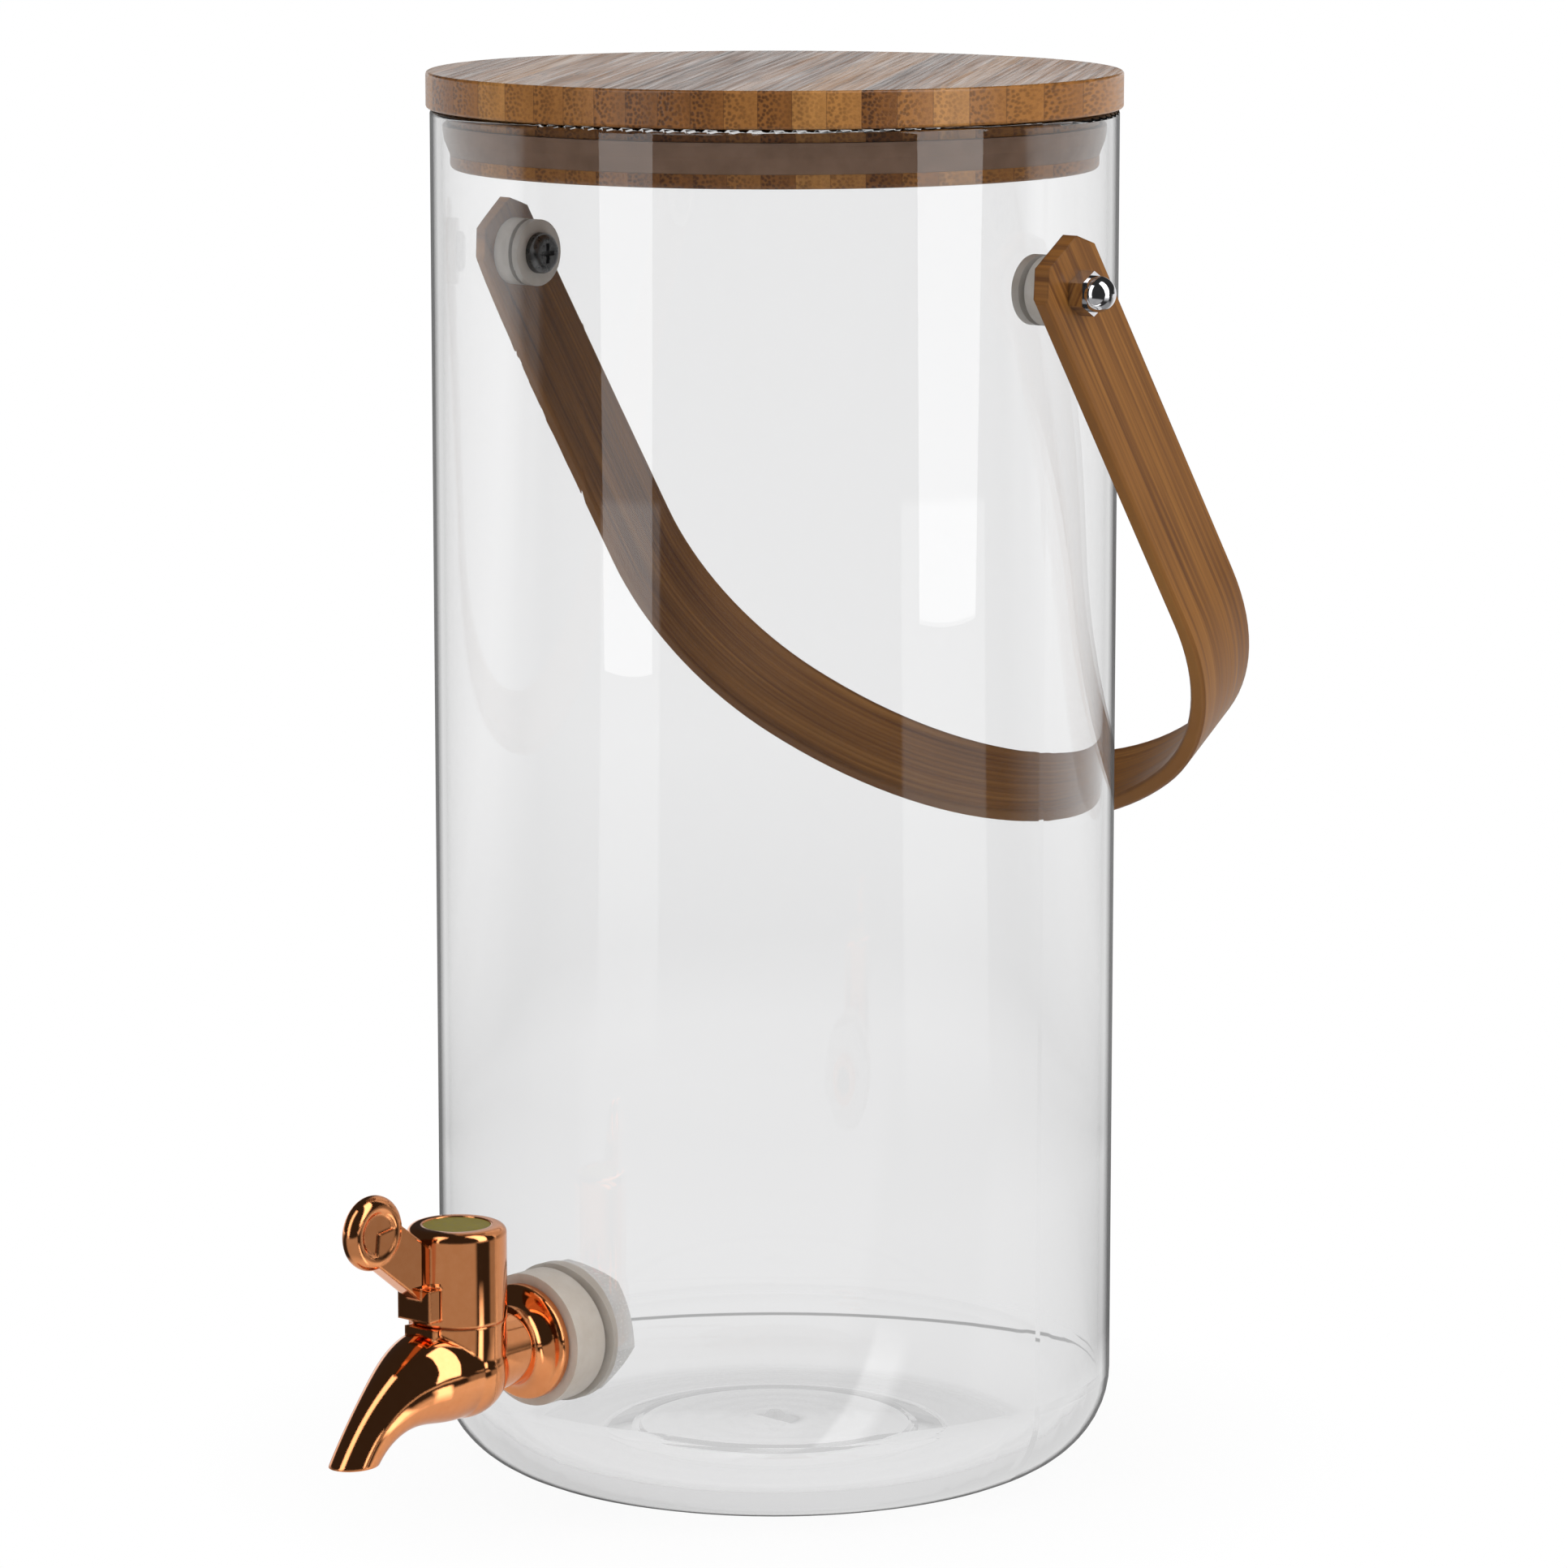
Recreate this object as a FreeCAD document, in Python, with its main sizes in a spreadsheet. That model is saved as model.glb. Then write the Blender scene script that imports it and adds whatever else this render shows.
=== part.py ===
import FreeCAD, Part
import math
import os
import Sketcher

# Glass liquid dispenser jar with a bamboo lid, a bamboo bail handle and a turn tap.
# Millimetres. Origin at the middle of the base, +Z up, tap along -Y, handle pivots on +X and -X.

doc = FreeCAD.newDocument("dispenser")
sheet = doc.addObject("Spreadsheet::Sheet", "dims")

DIMENSIONS = {
    # glass jar
    "jar_radius": 90.0,
    "jar_wall": 3.0,
    "jar_height": 360.2,
    "jar_corner": 24.0,
    "jar_floor": 5.0,
    "rim_round": 1.3,
    "punt_radius": 46.0,
    "punt_slope": 9.0,
    "punt_rise": 2.4,
    "punt_crown": 1.4,
    "punt_round": 7.2,
    "pip_radius": 3.0,
    "pip_top": 1.5,
    "pip_rise": 1.3,
    # lid
    "lid_overhang": 1.0,
    "lid_board_thick": 9.5,
    "lid_gap": 0.3,
    "plug_inset": 2.25,
    "plug_depth": 15.3,
    "plug_round": 1.5,
    "lid_round": 0.8,
    "groove_top": 3.6,
    "groove_high": 8.0,
    "groove_deep": 5.0,
    "seal_gap": 0.3,
    "lip_thick": 1.1,
    "lip_root": 2.8,
    "lip_belly": 0.5,
    "seal_shoulder": 1.8,
    # bail handle
    "pivot_drop": 42.5,
    "strap_wide": 24.7,
    "strap_thick": 4.5,
    "strap_bevel": 0.7,
    "arm_long": 101.0,
    "bend_radius": 71.0,
    "apex_radius": 118.0,
    "end_long": 12.8,
    "end_clip": 5.4,
    "end_slope": 7.0,
    "strap_bore_play": 0.25,
    "rest_gap": 0.3,
    # handle fixings
    "bolt_radius": 3.0,
    "bolt_head_radius": 5.5,
    "bolt_head_high": 3.5,
    "bolt_head_round": 1.9,
    "bolt_tip": 0.75,
    "cross_arm": 2.7,
    "cross_wide": 1.3,
    "cross_deep": 1.8,
    "small_washer_radius": 9.0,
    "inner_washer_thick": 2.6,
    "outer_washer_thick": 6.0,
    "glass_bore_radius": 4.5,
    "face_gap": 0.05,
    "nut_flats": 10.0,
    "nut_hex_high": 4.4,
    "nut_dome_radius": 4.6,
    "nut_neck_high": 1.2,
    "nut_bore_deep": 7.0,
    "bolt_in_nut": 5.8,
    # tap fixings
    "tap_height": 49.0,
    "shank_radius": 8.0,
    "shank_past_nut": 4.5,
    "tap_bore_radius": 8.6,
    "tap_washer_radius": 17.25,
    "tap_outer_thick": 9.0,
    "tap_inner_radius": 18.0,
    "tap_inner_thick": 3.5,
    "tap_nut_flats": 30.0,
    "tap_nut_high": 9.0,
    "tap_nut_turn": 49.0,
    "tap_nut_shave": 0.3,
    "tap_nut_slope": 0.6,
    # tap body
    "flange_radius": 15.0,
    "flange_edge": 3.5,
    "flange_round": 1.2,
    "flange_cove": 4.4,
    "shank_tip": 0.8,
    "neck_radius": 9.7,
    "stem_swell": 1.5,
    "valve_reach": 35.5,
    "barrel_radius": 12.4,
    "elbow_radius": 13.0,
    "elbow_lap": 0.4,
    "foot_wide": 10.0,
    "foot_reach": 1.8,
    "foot_high": 6.5,
    "seam_high": 11.0,
    "spigot_radius": 10.0,
    "spigot_high": 6.6,
    "spigot_tip": 0.5,
    "snap_up": 2.6,
    "snap_deep": 0.6,
    "snap_high": 1.2,
    "snap_play": 0.2,
    "water_radius": 4.5,
    "spout_drop": 2.0,
    "spout_start": 6.5,
    "spout_bend": 38.0,
    "spout_outlet": 19.5,
    "spout_radius": 5.9,
    # valve plug and seals
    "valve_bore_radius": 7.2,
    "valve_play": 0.08,
    "valve_floor": 10.6,
    "port_drop": 1.2,
    "plug_tip": 0.6,
    "ring_section": 0.95,
    "ring_above": 6.6,
    "ring_below": 8.0,
    "ring_play": 0.03,
    "drive_half": 4.0,
    "drive_high": 8.0,
    "drive_play": 0.08,
    # lever
    "hub_radius": 12.7,
    "hub_high": 24.2,
    "hub_gap": 0.2,
    "hub_round": 2.2,
    "hub_play": 0.25,
    "cap_radius": 8.7,
    "cap_thick": 1.4,
    "cap_sink": 0.3,
    "notch_wide": 1.6,
    "notch_long": 1.4,
    "screw_radius": 1.5,
    "screw_head_radius": 2.8,
    "screw_head_high": 2.2,
    "screw_long": 14.0,
    "screw_web": 2.0,
    "screw_tip": 0.45,
    "arm_thick": 5.0,
    "arm_low": 5.0,
    "arm_high": 20.8,
    "arm_neck": 6.2,
    "paddle_radius": 9.6,
    "paddle_thick": 5.4,
    "paddle_reach": 31.0,
    "paddle_high": 27.5,
    "dish_deep": 0.7,
    "stop_wide": 11.0,
    "stop_reach": 3.4,
    "stop_low": 2.0,
    "stop_high": 8.4,
}

for row, (alias, number) in enumerate(DIMENSIONS.items(), start=1):
    sheet.set(f"A{row}", alias)
    sheet.set(f"B{row}", str(number))
    sheet.setAlias(f"B{row}", alias)
doc.recompute()


class Size:
    """A number together with the spreadsheet formula that drives it."""

    def __init__(self, value, formula):
        self.value = float(value)
        self.formula = formula

    def __add__(self, other):
        other = as_size(other)
        return Size(self.value + other.value, f"({self.formula} + {other.formula})")

    def __radd__(self, other):
        return as_size(other) + self

    def __sub__(self, other):
        other = as_size(other)
        return Size(self.value - other.value, f"({self.formula} - {other.formula})")

    def __rsub__(self, other):
        return as_size(other) - self

    def __mul__(self, other):
        other = as_size(other)
        return Size(self.value * other.value, f"({self.formula} * {other.formula})")

    def __rmul__(self, other):
        return as_size(other) * self

    def __truediv__(self, other):
        other = as_size(other)
        return Size(self.value / other.value, f"({self.formula} / {other.formula})")

    def __neg__(self):
        return Size(-self.value, f"(0 - {self.formula})")


def as_size(number):
    if isinstance(number, Size):
        return number
    return Size(number, f"{float(number):.6f}")


def dim(alias):
    return Size(sheet.get(alias), f"dims.{alias}")


def hypotenuse(a, b):
    return Size(math.hypot(a.value, b.value), f"hypot({a.formula}; {b.formula})")


def arc_sine(a):
    return Size(math.degrees(math.asin(a.value)), f"(asin({a.formula}) / (1 deg))")


def arc_cosine(a):
    return Size(math.degrees(math.acos(a.value)), f"(acos({a.formula}) / (1 deg))")


def arc_tangent(a, b):
    degrees = math.degrees(math.atan2(a.value, b.value))
    return Size(degrees, f"(atan2({a.formula}; {b.formula}) / (1 deg))")


def sine(degrees):
    degrees = as_size(degrees)
    return Size(math.sin(math.radians(degrees.value)), f"sin({degrees.formula})")


def cosine(degrees):
    degrees = as_size(degrees)
    return Size(math.cos(math.radians(degrees.value)), f"cos({degrees.formula})")


X_AXIS = FreeCAD.Vector(1, 0, 0)
Y_AXIS = FreeCAD.Vector(0, 1, 0)
Z_AXIS = FreeCAD.Vector(0, 0, 1)

pieces = []


def bind(target, prop, size):
    size = as_size(size)
    target.setExpression(prop, size.formula)


def place(target, base, axis=None, angle=0.0, prop="Placement"):
    """Place an object at a point, turned about one axis, with every number bound to the sheet."""
    base = [as_size(number) for number in base]
    angle = as_size(angle)
    rotation = FreeCAD.Rotation()
    if axis is not None:
        rotation = FreeCAD.Rotation(axis, angle.value)
    spot = FreeCAD.Vector(*(number.value for number in base))
    setattr(target, prop, FreeCAD.Placement(spot, rotation))
    for letter, number in zip("xyz", base):
        bind(target, f".{prop}.Base.{letter}", number)
    if axis is not None:
        bind(target, f".{prop}.Rotation.Angle", angle)


def new_body(label):
    body = doc.addObject("PartDesign::Body", label)
    body.Label = label
    pieces.append(body)
    return body


def plane(body, role):
    for feature in body.Origin.OriginFeatures:
        if feature.Role == role:
            return feature
    raise ValueError(role)


def sketch_on(body, role, base=(0, 0, 0), axis=None, angle=0.0):
    """A sketch on one of the body's own planes, moved and turned in that plane's directions."""
    sketch = body.newObject("Sketcher::SketchObject", f"{body.Label}_sketch")
    sketch.AttachmentSupport = [(plane(body, role), "")]
    sketch.MapMode = "FlatFace"
    place(sketch, base, axis, angle, "AttachmentOffset")
    return sketch


def fix_point(sketch, geometry, position, x, y):
    """Hold one sketch point at the given coordinates."""
    for kind, axis_id, number in (("DistanceX", -2, as_size(x)), ("DistanceY", -1, as_size(y))):
        if number.value == 0.0:
            sketch.addConstraint(Sketcher.Constraint("PointOnObject", geometry, position, axis_id))
            continue
        index = sketch.addConstraint(Sketcher.Constraint(kind, -1, 1, geometry, position, number.value))
        bind(sketch, f"Constraints[{index}]", number)


def polygon(sketch, points):
    corners = [FreeCAD.Vector(as_size(x).value, as_size(y).value, 0) for x, y in points]
    first = sketch.GeometryCount
    count = len(points)
    for number in range(count):
        following = corners[(number + 1) % count]
        sketch.addGeometry(Part.LineSegment(corners[number], following), False)
    for number in range(count):
        after = first + (number + 1) % count
        sketch.addConstraint(Sketcher.Constraint("Coincident", first + number, 2, after, 1))
    for number, (x, y) in enumerate(points):
        fix_point(sketch, first + number, 1, x, y)


def circle(sketch, x, y, radius):
    radius = as_size(radius)
    middle = FreeCAD.Vector(as_size(x).value, as_size(y).value, 0)
    index = sketch.addGeometry(Part.Circle(middle, Z_AXIS, radius.value), False)
    if as_size(x).value == 0.0 and as_size(y).value == 0.0:
        sketch.addConstraint(Sketcher.Constraint("Coincident", index, 3, -1, 1))
    else:
        fix_point(sketch, index, 3, x, y)
    number = sketch.addConstraint(Sketcher.Constraint("Radius", index, radius.value))
    bind(sketch, f"Constraints[{number}]", radius)


def revolve(body, sketch, axis="V_Axis", angle=360.0, kind="Revolution"):
    feature = body.newObject(f"PartDesign::{kind}", f"{body.Label}_{kind.lower()}")
    feature.Profile = sketch
    feature.ReferenceAxis = (sketch, [axis])
    feature.Angle = as_size(angle).value
    bind(feature, "Angle", angle)
    doc.recompute()
    return feature


def pad(body, sketch, length, middle=False):
    feature = body.newObject("PartDesign::Pad", f"{body.Label}_pad")
    feature.Profile = sketch
    feature.Length = as_size(length).value
    bind(feature, "Length", length)
    feature.Midplane = middle
    doc.recompute()
    return feature


def pocket(body, sketch, length, middle=False):
    """Cut a sketch into the body, on whichever side of it removes material."""
    before = body.Shape.Volume
    feature = body.newObject("PartDesign::Pocket", f"{body.Label}_pocket")
    feature.Profile = sketch
    feature.Length = as_size(length).value
    bind(feature, "Length", length)
    feature.Midplane = middle
    doc.recompute()
    if body.Shape.Volume > before - 0.01:
        feature.Reversed = not feature.Reversed
        doc.recompute()
    return feature


def round_edges(body, spots, radius, middle=(0, 0, 0), axis=Z_AXIS):
    """Round the edges of a turned shape at the given (radius, distance along its axis) spots."""
    base = body.Tip
    origin = FreeCAD.Vector(*(as_size(number).value for number in middle))
    names = []
    for number, edge in enumerate(base.Shape.Edges, start=1):
        if not isinstance(edge.Curve, Part.Circle):
            continue
        arm = edge.Curve.Center - origin
        along = arm.dot(axis)
        centred = (arm - axis * along).Length < 1e-4
        for spot_radius, spot_along in spots:
            near = abs(edge.Curve.Radius - as_size(spot_radius).value) < 1e-4
            level = abs(along - as_size(spot_along).value) < 1e-4
            if near and level and centred:
                names.append(f"Edge{number}")
    if not names:
        raise ValueError(f"{body.Label}: no edge to round")
    feature = body.newObject("PartDesign::Fillet", f"{body.Label}_fillet")
    feature.Base = (base, names)
    feature.Radius = as_size(radius).value
    bind(feature, "Radius", radius)
    doc.recompute()
    return feature


def primitive(body, kind, sizes, base=(0, 0, 0), axis=None, angle=0.0):
    """Add or take away one of the PartDesign primitive solids."""
    feature = body.newObject(f"PartDesign::{kind}", f"{body.Label}_{kind.lower()}")
    feature.AttachmentSupport = [(plane(body, "XY_Plane"), "")]
    feature.MapMode = "FlatFace"
    for prop, size in sizes.items():
        setattr(feature, prop, as_size(size).value)
        bind(feature, prop, size)
    place(feature, base, axis, angle, "AttachmentOffset")
    doc.recompute()
    return feature


def cylinder(name, radius, height, base, axis=None, angle=0.0):
    solid = doc.addObject("Part::Cylinder", name)
    solid.Radius = as_size(radius).value
    solid.Height = as_size(height).value
    bind(solid, "Radius", radius)
    bind(solid, "Height", height)
    place(solid, base, axis, angle)
    return solid


def boolean(kind, name, base, tool):
    result = doc.addObject(f"Part::{kind}", name)
    result.Base = base
    result.Tool = tool
    doc.recompute()
    return result


def finished(result, label):
    result.Label = label
    pieces.append(result)
    return result


# Values shared by several pieces

jar_radius = dim("jar_radius")
jar_wall = dim("jar_wall")
jar_inner = jar_radius - jar_wall
jar_height = dim("jar_height")
pivot_height = jar_height - dim("pivot_drop")
face_gap = dim("face_gap")
lid_under = jar_height + dim("lid_gap")
plug_radius = jar_inner - dim("plug_inset")
strap_thick = dim("strap_thick")
strap_half = dim("strap_wide") / 2
strap_middle = jar_radius + dim("outer_washer_thick") + face_gap + strap_thick / 2
strap_outer = strap_middle + strap_thick / 2
tap_height = dim("tap_height")
flange_back = jar_radius + dim("tap_outer_thick")
valve_axis = jar_radius + dim("valve_reach")
tap_nut_front = jar_inner - dim("tap_inner_thick")
tap_nut_back = tap_nut_front - dim("tap_nut_high")

# Cutting shapes run this far past the surface they cut, and through cuts span the whole jar
overshoot = as_size(1)
through = 4 * jar_radius

# Where each fitting sits on the jar wall, and the turn that points its own +Z outwards
OUTWARD = {
    "right": ((1, 0), Y_AXIS, 90.0),
    "left": ((-1, 0), Y_AXIS, -90.0),
    "tap": ((0, -1), X_AXIS, 90.0),
}


def on_wall(where, distance, height):
    """Spot, axis and turn of a part that points outwards, from a distance off the jar's axis."""
    (x, y), axis, turn = OUTWARD[where]
    return (x * distance, y * distance, height), axis, turn


def wall_washer(label, where, height, radius, bore, flat, inside):
    """A soft washer with one flat face and one face that fits the curve of the glass."""
    near = flat if inside else jar_inner
    far = jar_radius if inside else flat
    glass = jar_inner - face_gap if inside else jar_radius + face_gap
    disc = cylinder(f"{label}_disc", radius, far - near, *on_wall(where, near, height))
    curve = cylinder(f"{label}_glass", glass, jar_height, (0, 0, 0))
    long = far - near + 2 * overshoot
    hole = cylinder(f"{label}_bore", bore, long, *on_wall(where, near - overshoot, height))
    shaped = boolean("Common" if inside else "Cut", f"{label}_shape", disc, curve)
    finished(boolean("Cut", f"{label}_cut", shaped, hole), label)


def build_glass_jar():
    """Blown glass: straight wall, rounded heel, pushed-up base with a small pip, fire-polished rim."""
    body = new_body("glass_jar")
    floor = dim("jar_floor")
    punt = dim("punt_radius")
    step = punt - dim("punt_slope")
    rise = dim("punt_rise")
    crown = rise + dim("punt_crown")
    pip = dim("pip_radius")
    zero = as_size(0)
    profile = sketch_on(body, "XZ_Plane")
    polygon(profile, [
        (zero, crown),
        (step, rise),
        (punt, zero),
        (jar_radius, zero),
        (jar_radius, jar_height),
        (jar_inner, jar_height),
        (jar_inner, floor),
        (punt, floor),
        (step, floor + rise),
        (pip, floor + crown),
        (dim("pip_top"), floor + crown + dim("pip_rise")),
        (zero, floor + crown + dim("pip_rise")),
    ])
    revolve(body, profile)
    corner = dim("jar_corner")
    round_edges(body, [(jar_radius, zero)], corner)
    round_edges(body, [(jar_inner, floor)], corner - jar_wall)
    round_edges(body, [(jar_radius, jar_height), (jar_inner, jar_height)], dim("rim_round"))
    round_edges(body, [(punt, zero), (step, rise)], dim("punt_round"))
    round_edges(body, [(punt, floor), (step, floor + rise)], dim("punt_round"))
    holes = sketch_on(body, "YZ_Plane")
    circle(holes, 0, pivot_height, dim("glass_bore_radius"))
    pocket(body, holes, through, middle=True)
    tap_hole = sketch_on(body, "XZ_Plane", (0, 0, jar_inner / 2))
    circle(tap_hole, 0, tap_height, dim("tap_bore_radius"))
    pocket(body, tap_hole, jar_radius)
    return body


def build_lid():
    """Laminated bamboo board with a turned plug, grooved for the seal."""
    body = new_body("lid_board")
    place(body, (0, 0, lid_under))
    zero = as_size(0)
    lid_radius = jar_radius + dim("lid_overhang")
    thick = dim("lid_board_thick")
    top = -dim("groove_top")
    low = top - dim("groove_high")
    bottom = -dim("plug_depth")
    deep = plug_radius - dim("groove_deep")
    profile = sketch_on(body, "XZ_Plane")
    polygon(profile, [
        (zero, bottom),
        (plug_radius, bottom),
        (plug_radius, low),
        (deep, low),
        (deep, top),
        (plug_radius, top),
        (plug_radius, zero),
        (lid_radius, zero),
        (lid_radius, thick),
        (zero, thick),
    ])
    revolve(body, profile)
    round_edges(body, [(plug_radius, bottom)], dim("plug_round"))
    round_edges(body, [(lid_radius, zero), (lid_radius, thick)], dim("lid_round"))

    seal = new_body("lid_seal")
    place(seal, (0, 0, lid_under))
    lip = dim("lip_thick")
    inner = deep + face_gap
    outer = jar_inner - dim("seal_gap")
    ring = sketch_on(seal, "XZ_Plane")
    polygon(ring, [
        (inner, low + face_gap),
        (plug_radius, low + face_gap),
        ((plug_radius + outer) / 2 + dim("lip_belly"), (low + top) / 2),
        (outer, top - lip),
        (outer, top - face_gap),
        (outer - lip, top - face_gap),
        (plug_radius - lip, low + dim("lip_root")),
        (plug_radius - dim("seal_shoulder"), top - face_gap),
        (inner, top - face_gap),
    ])
    revolve(seal, ring)


def strap_section(sketch, x, y, along_x, along_y):
    """The bevelled strap cross-section, centred on (x, y)."""
    bevel = dim("strap_bevel")
    polygon(sketch, [
        (x + along_x, y + along_y - bevel),
        (x + along_x - bevel, y + along_y),
        (x - along_x + bevel, y + along_y),
        (x - along_x, y + along_y - bevel),
        (x - along_x, y - along_y + bevel),
        (x - along_x + bevel, y - along_y),
        (x + along_x - bevel, y - along_y),
        (x + along_x, y - along_y + bevel),
    ])


def build_handle():
    """Steam-bent bamboo strap: two straight arms, two corner bends and a flatter apex."""
    body = new_body("handle_strap")
    zero = as_size(0)
    bend = dim("bend_radius")
    apex = dim("apex_radius")
    arm = dim("arm_long")
    end = dim("end_long")
    half = strap_thick / 2
    bend_x = strap_middle - bend
    corner_angle = arc_cosine(bend_x / (apex - bend))
    apex_centre = arm - (apex - bend) * sine(corner_angle)
    reach = apex_centre + apex
    lean_reach = reach - half
    lean = arc_sine((jar_radius + dim("rest_gap")) / hypotenuse(lean_reach, strap_half))
    lean = lean + arc_tangent(strap_half, lean_reach)
    place(body, (0, 0, pivot_height), X_AXIS, lean)

    section = sketch_on(body, "XY_Plane", (0, 0, -arm))
    strap_section(section, strap_middle, zero, half, strap_half)
    pad(body, section, arm + end)

    corner = sketch_on(body, "XY_Plane", (bend_x, 0, -arm))
    strap_section(corner, bend, zero, half, strap_half)
    turn = revolve(body, corner, "V_Axis", corner_angle)
    if turn.Shape.BoundBox.ZMin > -(arm + overshoot).value:
        turn.Reversed = True
        doc.recompute()

    crown = sketch_on(body, "YZ_Plane", (0, -apex_centre, 0))
    strap_section(crown, zero, -apex, strap_half, half)
    turn = revolve(body, crown, "H_Axis", 90 - corner_angle)
    if turn.Shape.BoundBox.XMin < -overshoot.value:
        turn.Reversed = True
        doc.recompute()

    bore = sketch_on(body, "YZ_Plane")
    circle(bore, 0, 0, dim("bolt_radius") + dim("strap_bore_play"))
    pocket(body, bore, through, middle=True)

    clip = dim("end_clip")
    slope = dim("end_slope")
    clips = sketch_on(body, "YZ_Plane")
    for side in (1, -1):
        polygon(clips, [
            (side * (strap_half + overshoot), end - slope - overshoot * slope / clip),
            (side * (strap_half + overshoot), end + overshoot),
            (side * (strap_half - clip - overshoot * clip / slope), end + overshoot),
        ])
    pocket(body, clips, through, middle=True)

    mirror = body.newObject("PartDesign::Mirrored", "handle_strap_mirror")
    mirror.TransformMode = "Whole shape"
    mirror.MirrorPlane = (plane(body, "YZ_Plane"), [""])
    body.Tip = mirror
    doc.recompute()
    return lean


def build_fixings(name):
    """One handle pivot: screw with its head inside the jar, two soft washers and a cap nut."""
    seat = jar_inner - dim("inner_washer_thick")
    bolt_radius = dim("bolt_radius")

    bolt = new_body(f"handle_bolt_{name}")
    place(bolt, *on_wall(name, seat, pivot_height))
    zero = as_size(0)
    head = dim("bolt_head_high")
    head_radius = dim("bolt_head_radius")
    length = strap_outer + face_gap + dim("bolt_in_nut") - seat
    profile = sketch_on(bolt, "XZ_Plane")
    polygon(profile, [
        (zero, -head),
        (head_radius, -head),
        (head_radius, zero),
        (bolt_radius, zero),
        (bolt_radius, length - dim("bolt_tip")),
        (bolt_radius - dim("bolt_tip"), length),
        (zero, length),
    ])
    revolve(bolt, profile)
    round_edges(bolt, [(head_radius, -head)], dim("bolt_head_round"))
    cross = sketch_on(bolt, "XY_Plane", (0, 0, -head))
    arm = dim("cross_arm")
    half = dim("cross_wide") / 2
    polygon(cross, [
        (arm, half), (half, half), (half, arm), (-half, arm), (-half, half), (-arm, half),
        (-arm, -half), (-half, -half), (-half, -arm), (half, -arm), (half, -half), (arm, -half),
    ])
    pocket(bolt, cross, dim("cross_deep"))

    radius = dim("small_washer_radius")
    bore = bolt_radius + face_gap
    wall_washer(f"inner_washer_{name}", name, pivot_height, radius, bore, seat, True)
    spacer = jar_radius + dim("outer_washer_thick")
    wall_washer(f"outer_washer_{name}", name, pivot_height, radius, bore, spacer, False)

    nut = new_body(f"cap_nut_{name}")
    place(nut, *on_wall(name, strap_outer + face_gap, pivot_height))
    hex_high = dim("nut_hex_high")
    dome = dim("nut_dome_radius")
    neck = dim("nut_neck_high")
    corner = dim("nut_flats") / math.sqrt(3)
    primitive(nut, "AdditivePrism", {"Circumradius": corner, "Height": hex_high})
    primitive(nut, "AdditiveCylinder", {"Radius": dome, "Height": neck + hex_high})
    primitive(nut, "AdditiveSphere", {"Radius": dome}, (0, 0, hex_high + neck))
    primitive(nut, "SubtractiveCylinder", {"Radius": bore, "Height": dim("nut_bore_deep")})


def build_tap_fixings():
    """Soft washers on both sides of the glass and the plastic nut on the shank."""
    bore = dim("shank_radius") + face_gap
    outer_radius = dim("tap_washer_radius")
    inner_radius = dim("tap_inner_radius")
    wall_washer("tap_outer_washer", "tap", tap_height, outer_radius, bore, flange_back, False)
    wall_washer("tap_inner_washer", "tap", tap_height, inner_radius, bore, tap_nut_front, True)

    nut = new_body("tap_nut")
    place(nut, *on_wall("tap", tap_nut_back, tap_height))
    high = dim("tap_nut_high")
    corner = dim("tap_nut_flats") / math.sqrt(3)
    outline = {"Circumradius": corner, "Height": high - face_gap}
    primitive(nut, "AdditivePrism", outline, (0, 0, 0), Z_AXIS, dim("tap_nut_turn"))
    shave = sketch_on(nut, "XZ_Plane")
    start = dim("tap_nut_flats") / 2 - dim("tap_nut_shave")
    polygon(shave, [
        (start, as_size(0)),
        (corner + overshoot, as_size(0)),
        (corner + overshoot, (corner + overshoot - start) * dim("tap_nut_slope")),
    ])
    revolve(nut, shave, "V_Axis", 360.0, "Groove")
    hole = {"Radius": bore, "Height": high + 2 * overshoot}
    primitive(nut, "SubtractiveCylinder", hole, (0, 0, -overshoot))


# Turns of the spout's bend at which it has a section, and the turn from which it is parallel
SPOUT_TURNS = (0, 9, 19, 30, 45, 60, 74)
PARALLEL_FROM = 60
TAPER_POWER = 1.7


def spout_outer(turn):
    """Outer radius of the spout, easing from just inside the elbow's at the root to the outlet's."""
    eased = math.cos(math.pi * min(turn, PARALLEL_FROM) / PARALLEL_FROM)
    share = ((1 + eased) / 2) ** TAPER_POWER
    root = dim("elbow_radius") - dim("elbow_lap")
    return dim("spout_radius") + (root - dim("spout_radius")) * share


def spout_section(body, turn, radius):
    """A round section of the spout, square to its bent centre line."""
    bend = dim("spout_bend")
    reach = valve_axis + dim("spout_start") + bend * sine(turn)
    level = tap_height - dim("spout_drop") - bend * (1 - cosine(turn))
    sketch = sketch_on(body, "XY_Plane", (0, -reach, level), X_AXIS, 90.0 + turn)
    circle(sketch, 0, 0, radius)
    return sketch


def spout_loft(body, kind, radius_at):
    """Loft the spout from the valve axis round its bend."""
    root = sketch_on(body, "XY_Plane", (0, -valve_axis, tap_height - dim("spout_drop")), X_AXIS, 90.0)
    circle(root, 0, 0, radius_at(0))
    sections = [spout_section(body, turn, radius_at(turn)) for turn in SPOUT_TURNS]
    feature = body.newObject(f"PartDesign::{kind}", f"{body.Label}_{kind.lower()}")
    feature.Profile = root
    feature.Sections = sections
    doc.recompute()
    return feature


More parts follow.
